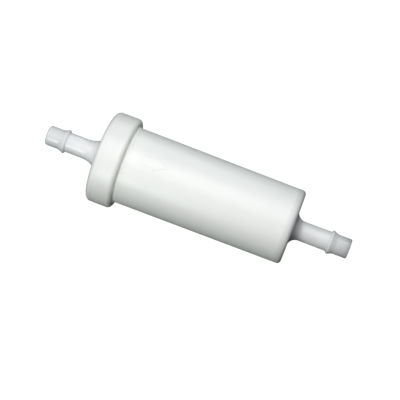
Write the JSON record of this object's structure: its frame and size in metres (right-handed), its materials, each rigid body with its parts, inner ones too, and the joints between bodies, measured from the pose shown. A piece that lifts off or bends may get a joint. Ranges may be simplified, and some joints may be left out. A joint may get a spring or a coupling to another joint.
{
  "type": "in-line fuel filter",
  "caption": "White in-line fuel filter: round housing, wider welded cap, a single-barb hose nipple at each end, raised flow arrow, pleated paper element inside.",
  "frame": {"origin": "on the flow axis, halfway between the tips of the two hose nipples (centre of the bounding box)", "axes": "+X along the flow, from the inlet in the cap to the outlet in the housing; +Z out through the raised flow arrow; +Y completes the right hand"},
  "size_m": [0.128, 0.0374, 0.0376],
  "materials": {
    "white_shell": "glossy natural white acetal, faintly translucent",
    "weld_flash": "re-solidified melt, glossy",
    "element_plastic": "moulded natural nylon, satin",
    "potting": "cast plastisol, matt",
    "filter_paper": "resin-treated filter paper",
    "clip_steel": "rolled strip, bright",
    "seal_rubber": "moulded, slightly shiny"
  },
  "bodies": {
    "root": {"housing": "white_shell", "inlet_cap": "white_shell", "spin_weld_bead": "weld_flash", "closed_end_plate": "element_plastic", "closed_end_potting": "potting", "pleated_media": "filter_paper", "seam_clip": "clip_steel", "core_tube": "element_plastic", "open_end_potting": "potting", "open_end_plate": "element_plastic", "outlet_o_ring": "seal_rubber"}
  },
  "joints": []
}
